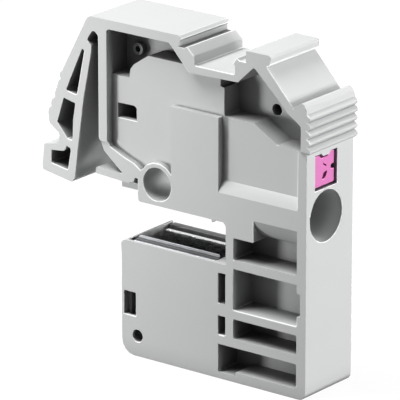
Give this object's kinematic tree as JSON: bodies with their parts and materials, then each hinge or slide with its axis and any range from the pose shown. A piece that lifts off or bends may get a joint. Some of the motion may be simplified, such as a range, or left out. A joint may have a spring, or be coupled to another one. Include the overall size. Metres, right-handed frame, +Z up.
{
  "type": "terminal block",
  "caption": "Grey push-in terminal block with a latch arm, a plug-on contact slot, a round wire entry and a pink release button.",
  "frame": {"origin": "middle of the underside of the bounding box, which is the plane of the block's foot", "axes": "+Z up, +X towards the wire side, -Y towards the open front side"},
  "size_m": [0.052, 0.0122, 0.0539],
  "materials": {
    "grey_plastic": "satin",
    "pink_plastic": "satin",
    "tinned_copper": "satin",
    "spring_steel": "satin"
  },
  "bodies": {
    "block": {"housing": "grey_plastic", "rear_cover": "grey_plastic", "clamping_spring": "spring_steel", "clamp_cage": "spring_steel", "current_bar": "tinned_copper", "contact_leaf": "tinned_copper", "contact_spring_left": "spring_steel", "contact_spring_right": "spring_steel"},
    "button": {"push_button": "pink_plastic"}
  },
  "joints": [
    {"name": "button_press", "type": "slide", "parent": "block", "child": "button", "axis": [-1, 0, 0], "range_m": [0, 0.002], "stiffness_N_per_m": 1500, "springref_m": -0.001, "deforming": ["clamping_spring"]}
  ]
}
